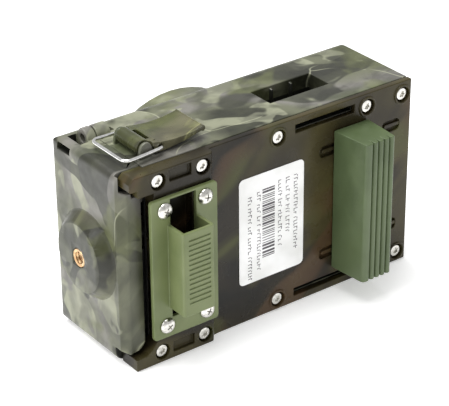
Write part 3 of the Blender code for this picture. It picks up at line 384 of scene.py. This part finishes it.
def cutting_places(values, spacing):
    """Places for cutting planes, about one spacing apart, each kept away from the vertices near it."""
    low, high = values[0], values[-1]
    count = max(1, int((high - low) / spacing))
    step = (high - low) / count
    places = []
    for index in range(1, count):
        tries = [low + index * step + nudge * step * 0.04 for nudge in range(-8, 9)]
        places.append(max(tries, key=lambda place: min(abs(place - value) for value in values)))
    return places


def cut_by_grid(solid):
    """Cuts long flat faces across, so that no face keeps a long thin or holed outline."""
    for axis in range(3):
        values = sorted({round(vert.co[axis], 6) for vert in solid.verts})
        normal = [0, 0, 0]
        normal[axis] = 1
        for place in cutting_places(values, GRID):
            point = [0, 0, 0]
            point[axis] = place
            everything = solid.verts[:] + solid.edges[:] + solid.faces[:]
            made = bmesh.ops.bisect_plane(
                solid, geom=everything, dist=1e-7, plane_co=point, plane_no=normal)
            for part in made["geom_cut"]:
                if isinstance(part, bmesh.types.BMEdge):
                    part.seam = True


def is_sharp(edge):
    """Whether the two faces beside the edge meet at an angle."""
    return len(edge.link_faces) == 2 and edge.calc_face_angle() > SHARP_ANGLE


def on_boss(point):
    """Whether the point is on the cap's boss, whose axis is the tripod insert's."""
    from_axis = math.hypot(point.y - INSERT_MIDDLE.y, point.z - INSERT_MIDDLE.z)
    return point.x < CAP_FACE_X + BOSS_DEPTH and from_axis < BOSS_REACH


def in_low_corner(point):
    """The cap's lower front corner, which its own small faces already round."""
    return point.x < CAP_FACE_X + LOW_CORNER and point.z < LOW_CORNER and point.y > FRONT_Y - LOW_CORNER


def goes_straight_on(edge, other, corner):
    """Whether the other sharp edge carries this one on past the corner."""
    here = (edge.other_vert(corner).co - corner.co).normalized()
    there = (other.other_vert(corner).co - corner.co).normalized()
    return is_sharp(other) and here.dot(there) < STRAIGHT_ON


def weigh_edges(solid, width):
    """Gives each sharp edge the share of the rounding that the edges beside it leave room for."""
    layer = solid.edges.layers.float.new("bevel_weight_edge")
    for edge in solid.edges:
        middle = (edge.verts[0].co + edge.verts[1].co) / 2
        if not is_sharp(edge) or on_boss(middle) or in_low_corner(middle):
            continue
        room = 1.0
        for corner in edge.verts:
            for other in corner.link_edges:
                if other is not edge and not goes_straight_on(edge, other, corner):
                    room = min(room, other.calc_length())
        edge[layer] = min(1.0, ROOM_SHARE * room / width)


def clean_copy(node, width=0.0):
    """The node's solid with its triangles merged back into flat faces, ready for rounding."""
    mesh = frame["nodes"][node].data.copy()
    solid = bmesh.new()
    solid.from_mesh(mesh)
    bmesh.ops.remove_doubles(solid, verts=solid.verts, dist=MERGE_DISTANCE)
    if width:
        cut_by_grid(solid)
    bmesh.ops.dissolve_limit(
        solid, angle_limit=FLAT_ANGLE, verts=solid.verts, edges=solid.edges, delimit={"SEAM"})
    if width:
        weigh_edges(solid, width)
    for edge in solid.edges:
        edge.seam = False
        edge.smooth = not is_sharp(edge)
    for face in solid.faces:
        face.smooth = True
    solid.to_mesh(mesh)
    solid.free()
    if "custom_normal" in mesh.attributes:
        mesh.attributes.remove(mesh.attributes["custom_normal"])
    return new_object(f"{node}_finished", mesh)


def depth_below_skin(point):
    """How deep a point lies under the closed body's rounded outline across X."""
    middle = Vector((0.0, (REAR_Y + FRONT_Y) / 2, BODY_TOP / 2))
    beyond_y = abs(point.y - middle.y) - (FRONT_Y - REAR_Y) / 2 + EDGE_R
    beyond_z = abs(point.z - middle.z) - BODY_TOP / 2 + EDGE_R
    if point.y < middle.y:
        return min(EDGE_R - beyond_z, EDGE_R - beyond_y)
    past_corner = math.hypot(max(beyond_y, 0.0), max(beyond_z, 0.0))
    return EDGE_R - past_corner - min(max(beyond_y, beyond_z), 0.0)


def darken_inside(piece):
    """Unprinted plastic on the faces that look into the hollow body and the strap passages."""
    piece.data.materials.append(MATERIALS["inside"])
    middle = Vector((0.0, (REAR_Y + FRONT_Y) / 2, BODY_TOP / 2))
    for face in piece.data.polygons:
        if not CAP_FACE_X + CAP_SKIN <= face.center.x <= BODY_END_X - FAR_SKIN:
            continue
        depth = depth_below_skin(face.center)
        inward = middle - face.center
        inward.x = 0.0
        looks_inwards = face.normal.dot(inward.normalized()) > LOOKS_INWARDS
        if depth > ALWAYS_INSIDE or (depth > MAYBE_INSIDE and looks_inwards):
            face.material_index = 1


def paint_slope_shade(piece):
    """Painted shade on the slope between the cap's face and the flat of its boss: a darker copy of the
    camo.
    """
    piece.data.materials.append(MATERIALS["slope_shade_camo"])
    for face in piece.data.polygons:
        # the boss's slope faces take the painted shade
        if on_boss(face.center) and STEEPEST < face.normal.x < FLATTEST:
            face.material_index = 2


def rounded(node, finish, width):
    """The node again, with its edges rounded over."""
    piece = clean_copy(node, width * MM)
    for edge in piece.data.edges:
        edge.use_edge_sharp = False
    bevel = piece.modifiers.new("rounded_edges", "BEVEL")
    bevel.limit_method = "WEIGHT"
    bevel.width = width * MM
    bevel.segments = 2
    bevel.use_clamp_overlap = False
    shading = piece.modifiers.new("flat_faces_stay_flat", "WEIGHTED_NORMAL")
    shading.weight = 80
    shading.keep_sharp = True
    stands_for(piece, node, finish)
    return piece


def make_shells():
    """The big mouldings, with their edges rounded."""
    darken_inside(rounded("front_shell", "camo", 0.4))
    cap = rounded("end_cap", "camo", 0.5)
    darken_inside(cap)
    # painted shade on the boss's slope
    paint_slope_shade(cap)
    rounded("rear_shell", "dark_camo", 0.35)
    rounded("latch_lever", "lever_camo", 0.25)
    rounded("strap_plate", "plate_green", 0.25)
    rounded("tree_brace", "brace_green", 0.35)


def make_small_parts():
    """Fittings with rounded edges, and the pieces that need only a finish."""
    for node, finish in (
        ("lens_hood", "black"), ("led_window", "smoked"), ("control_deck", "black"),
        ("mode_switch", "frosted"), ("memory_card", "black"), ("battery_tray", "black"),
        ("usb_socket", "steel"), ("mouth_seal", "seal"),
    ):
        rounded(node, finish, 0.12)
    finishes = {
        "hinge_pin": "steel", "latch_pin": "steel", "lcd_screen": "screen", "av_socket": "black",
        "dc_socket": "black", "main_board": "board", "lens_glass": "glass", "lens_barrel": "black",
        "image_board": "board", "sensor_lens": "dome", "motion_sensor": "steel",
        "status_light": "red", "led_board": "board",
    }
    for node in frame["nodes"]:
        if node.startswith("key_"):
            finishes[node] = "rubber"
        if node.startswith("battery_") and node != "battery_tray":
            finishes[node] = "cell"
    for node, finish in finishes.items():
        own_material(frame["nodes"][node], finish)


def turned_solid(profile, sides):
    """Solid of revolution about Y. The profile is (radius, height), from one end to the other."""
    solid = bmesh.new()
    rings = []
    for radius, height in profile:
        if radius == 0:
            rings.append([solid.verts.new((0, height * MM, 0))])
            continue
        ring = []
        for side in range(sides):
            angle = 2 * math.pi * side / sides
            across, up = radius * math.cos(angle), radius * math.sin(angle)
            ring.append(solid.verts.new((across * MM, height * MM, up * MM)))
        rings.append(ring)
    for lower, upper in zip(rings, rings[1:]):
        for side in range(sides):
            corners = [lower[side % len(lower)], lower[(side + 1) % len(lower)]]
            corners += [upper[(side + 1) % len(upper)], upper[side % len(upper)]]
            solid.faces.new(list(dict.fromkeys(corners)))
    for ring in (rings[0], rings[-1]):
        if len(ring) > 1:
            solid.faces.new(ring)
    bmesh.ops.recalc_face_normals(solid, faces=solid.faces)
    return solid


def prism_solid(outline, low, high, taper=1.0):
    """Outline in X and Z drawn along Y, with its far end scaled by taper."""
    solid = bmesh.new()
    near = [solid.verts.new((x * MM, low * MM, z * MM)) for x, z in outline]
    far = [solid.verts.new((x * taper * MM, high * MM, z * taper * MM)) for x, z in outline]
    solid.faces.new(near)
    solid.faces.new(far)
    for index in range(len(outline)):
        solid.faces.new((near[index - 1], near[index], far[index], far[index - 1]))
    bmesh.ops.recalc_face_normals(solid, faces=solid.faces)
    return solid


def to_mesh(solid, name):
    """Turns the bmesh into mesh data and frees it."""
    mesh = bpy.data.meshes.new(name)
    solid.to_mesh(mesh)
    solid.free()
    return mesh


def cut_mesh(body, tool, name):
    """Mesh of the body with the tool cut out of it."""
    body_object = new_object(name, to_mesh(body, name))
    tool_object = new_object(f"{name}_tool", to_mesh(tool, f"{name}_tool"))
    cut = body_object.modifiers.new("recess", "BOOLEAN")
    cut.operation = "DIFFERENCE"
    cut.object = tool_object
    graph = bpy.context.evaluated_depsgraph_get()
    mesh = bpy.data.meshes.new_from_object(body_object.evaluated_get(graph))
    bpy.data.objects.remove(body_object)
    bpy.data.objects.remove(tool_object)
    mesh.shade_smooth()
    mesh.set_sharp_from_angle(angle=math.radians(35))
    return mesh


def star(outer, inner, lobes=6, steps=6):
    """Rounded six-lobed star."""
    outline = []
    for step in range(lobes * steps):
        angle = 2 * math.pi * step / (lobes * steps)
        radius = (outer + inner) / 2 + (outer - inner) / 2 * math.cos(lobes * angle)
        outline.append((radius * math.cos(angle), radius * math.sin(angle)))
    return outline


def cross(reach, half):
    """Outline of a cross-head recess."""
    corners = [(half, half), (reach, half), (reach, -half), (half, -half), (half, -reach)]
    corners += [(-half, -reach), (-half, -half), (-reach, -half), (-reach, half), (-half, half)]
    return corners + [(-half, reach), (half, reach)]


def make_screws():
    """Star-drive screws of the rear shell and cross-head screws of the strap plate."""
    low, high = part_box("rear_screw_1")
    profile = [(0, 0.0), (2.05, 0.0), (2.4, 0.1), (2.62, 0.38), (2.65, 0.6), (2.65, 1.3)]
    profile += [(1.2, 1.35), (1.2, (high.y - low.y) / MM)]
    recess = prism_solid(star(1.5, 1.05), -1.0, 0.75)
    heads = {"rear_screw": cut_mesh(turned_solid(profile, ROUND_SIDES), recess, "star_screw")}
    low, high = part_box("plate_screw_1")
    profile = [(0, 0.0), (1.2, 0.05), (2.1, 0.32), (2.75, 0.75), (3.1, 1.2), (3.2, 1.5)]
    profile += [(1.5, 1.52), (1.5, (high.y - low.y) / MM)]
    recess = prism_solid(cross(1.7, 0.32), -1.0, 1.15, 0.6)
    heads["plate_screw"] = cut_mesh(turned_solid(profile, ROUND_SIDES), recess, "cross_screw")
    chooser = random.Random(SEED)
    for node in sorted(frame["nodes"]):
        head = heads.get(node.rpartition("_")[0])
        if head is None:
            continue
        low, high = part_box(node)
        mesh = head.copy()
        mesh.transform(Matrix.Rotation(chooser.uniform(0, math.pi), 4, "Y"))
        mesh.transform(Matrix.Translation(((low.x + high.x) / 2, low.y, (low.z + high.z) / 2)))
        stands_for(new_object(f"{node}_finished", mesh), node, "steel")


def make_insert():
    """Brass insert with a rolled thread in its bore."""
    low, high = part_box("tripod_insert")
    outer = (high.z - low.z) / 2 / MM
    length = (high.x - low.x) / MM
    bevel, end_wall = 0.25, 1.6
    profile = [(0, length), (outer, length), (outer, bevel), (outer - bevel, 0.0)]
    profile.append((THREAD_R + 2 * bevel, 0.0))
    depth = bevel
    while depth < length - end_wall:
        profile += [(THREAD_R, depth), (THREAD_R + THREAD_DEPTH, depth + THREAD_PITCH / 2)]
        depth += THREAD_PITCH
    profile += [(THREAD_R, depth), (0, depth + 0.3)]
    mesh = to_mesh(turned_solid(profile, ROUND_SIDES), "threaded_insert")
    mesh.transform(Matrix.Rotation(math.radians(-90), 4, "Z"))
    mesh.transform(Matrix.Translation((low.x, (low.y + high.y) / 2, (low.z + high.z) / 2)))
    mesh.shade_smooth()
    mesh.set_sharp_from_angle(angle=math.radians(40))
    stands_for(new_object("tripod_insert_finished", mesh), "tripod_insert", "brass")


def make_bail():
    """The bent wire, smoothed from its eight-sided solid."""
    piece = clean_copy("latch_bail")
    smooth = piece.modifiers.new("smooth_wire", "SUBSURF")
    smooth.levels = 2
    smooth.render_levels = 2
    stands_for(piece, "latch_bail", "chrome")


def add_box(solid, low, high):
    """Adds a box between two corners."""
    made = bmesh.ops.create_cube(solid, size=1.0)
    for vert in made["verts"]:
        vert.co = [low[axis] + (vert.co[axis] + 0.5) * (high[axis] - low[axis]) for axis in range(3)]


def make_label():
    """Film label with a bar pattern and rows of short dashes in place of print."""
    low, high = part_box("rear_label")
    film = clean_copy("rear_label")
    for vert in film.data.vertices:
        vert.co.y = LABEL_FACE_Y + (vert.co.y - low.y) / (high.y - low.y) * LABEL_FILM
    stands_for(film, "rear_label", "paper")
    ink = bmesh.new()
    chooser = random.Random(SEED)
    top = high.z - 4.5 * MM

    def bar(x, width, z_high, z_low):
        add_box(ink, (x, INK_Y[0], z_low), (x + width, INK_Y[1], z_high))

    z = top - 2.5 * MM
    while z > low.z + 9.5 * MM:
        thick = chooser.choice((0.35, 0.35, 0.6, 0.9)) * MM
        bar(low.x + BARS_X, BARS_LENGTH, z, z - thick)
        z -= thick + chooser.choice((0.35, 0.5, 0.8)) * MM
    rows = ((26.6, 33.0, 1.9, 1.0), (22.6, 24.0, 1.9, 1.0), (18.9, 29.5, 1.9, 1.0))
    rows += ((8.6, 35.0, 1.7, 3.0), (4.2, 37.0, 1.9, 4.0))
    for offset, length, height, drop in rows:
        z = top - drop * MM
        end = z - length * MM
        while z > end:
            letter = chooser.uniform(0.7, 1.3) * MM
            x = low.x + offset * MM
            bar(x, height * chooser.choice((0.7, 1.0)) * MM, z, z - STROKE)
            bar(x + chooser.choice((0.0, 0.5, 0.8)) * height * MM, STROKE, z - STROKE, z - letter)
            z -= letter + LETTER_GAP
            if chooser.random() < WORD_CHANCE:
                z -= WORD_GAP
    piece = new_object("label_print", to_mesh(ink, "label_print"))
    own_material(piece, "ink")
    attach(piece, "root")


def make_stage():
    """Plain white floor, white surroundings and two soft lights."""
    plane = bmesh.new()
    bmesh.ops.create_grid(plane, x_segments=1, y_segments=1, size=FLOOR_HALF)
    floor = new_object("floor", to_mesh(plane, "floor"))
    floor.location = (0, 0, CAD_BOX[0][2] - FLOOR_GAP)
    paint = Shading("floor_white", 0.9, specular=0.1)
    paint.shader.inputs["Base Color"].default_value = (0.93, 0.93, 0.93, 1.0)
    paint.shader.inputs["Emission Color"].default_value = (1.0, 1.0, 1.0, 1.0)
    paint.shader.inputs["Emission Strength"].default_value = 0.35
    floor.data.materials.append(paint.material)

    world = bpy.data.worlds.new("studio")
    world.use_nodes = True
    world.node_tree.nodes["Background"].inputs["Color"].default_value = (1.0, 1.0, 1.0, 1.0)
    world.node_tree.nodes["Background"].inputs["Strength"].default_value = 0.62
    bpy.context.scene.world = world
    add_light("key", (-0.15, 0.25, 1.2), (0, 0, 0), 0.8, 15.0)
    add_light("side", (-1.1, 0.1, 0.75), (0, 0, 0.04), 0.5, 4.5)


def add_light(name, location, target, size, power):
    """Square soft light aimed at a point."""
    data = bpy.data.lights.new(name, "AREA")
    data.size = size
    data.energy = power
    light = new_object(name, data)
    light.location = location
    light.rotation_euler = (Vector(target) - Vector(location)).to_track_quat("-Z", "Y").to_euler()


def make_camera():
    """Long lens, from behind and above, a little to the cap's side."""
    azimuth, elevation, roll = (math.radians(angle) for angle in CAMERA_ANGLES)
    back = Vector((math.sin(azimuth), -math.cos(azimuth), 0.0)) * math.cos(elevation)
    back.z = math.sin(elevation)
    level = Vector((math.cos(azimuth), math.sin(azimuth), 0.0))
    upright = back.cross(level)
    right = level * math.cos(roll) + upright * math.sin(roll)
    up = upright * math.cos(roll) - level * math.sin(roll)
    data = bpy.data.cameras.new("camera")
    data.lens = LENS
    data.sensor_width = SENSOR
    camera = new_object("camera", data)
    place = Matrix((right, up, back)).transposed().to_4x4()
    place.translation = Vector(CAMERA_PLACE)
    camera.matrix_world = place
    bpy.context.scene.camera = camera


make_shells()
make_small_parts()
make_screws()
make_insert()
make_bail()
make_label()
make_stage()
make_camera()
bpy.context.scene.view_settings.view_transform = "Standard"
